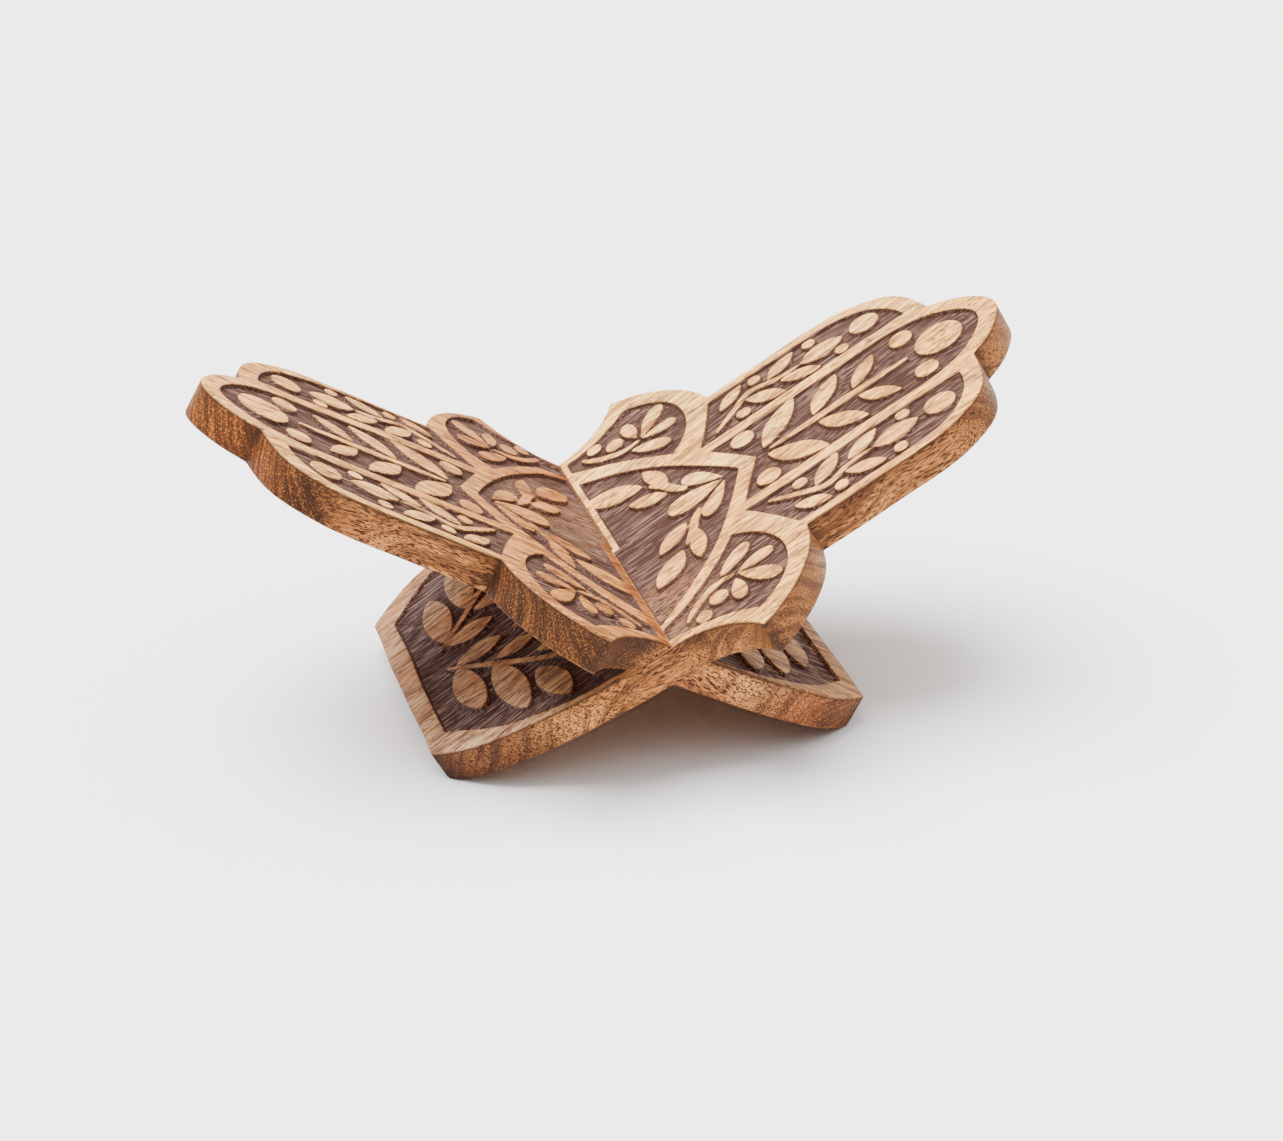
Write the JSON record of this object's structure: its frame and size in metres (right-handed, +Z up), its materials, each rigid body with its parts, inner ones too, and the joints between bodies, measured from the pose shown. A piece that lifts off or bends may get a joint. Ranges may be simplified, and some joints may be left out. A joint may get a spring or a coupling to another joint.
{
  "type": "quran stand",
  "caption": "Tabletop book stand of two equal carved wooden boards, hand-shaped above and shield-shaped below, that slot together crosswise into an X.",
  "frame": {"origin": "on the floor, midway between the two feet, straight under the line where the boards cross", "axes": "+X towards the wing of the right board, +Y away from the reader along the crossing line, +Z up"},
  "size_m": [0.3668, 0.25, 0.1661],
  "materials": {
    "right_board_wood": "oiled tan hardwood, carved grounds scorched dark brown",
    "left_board_wood": "oiled tan hardwood, slightly pinker, carved grounds scorched dark brown"
  },
  "bodies": {
    "right_wing_board": {"right_wing_board": "right_board_wood"},
    "left_wing_board": {"left_wing_board": "left_board_wood"}
  },
  "joints": [
    {"name": "slot_slide", "type": "slide", "parent": "right_wing_board", "child": "left_wing_board", "axis": [0, 1, 0], "range_m": [0, 0.2]}
  ]
}
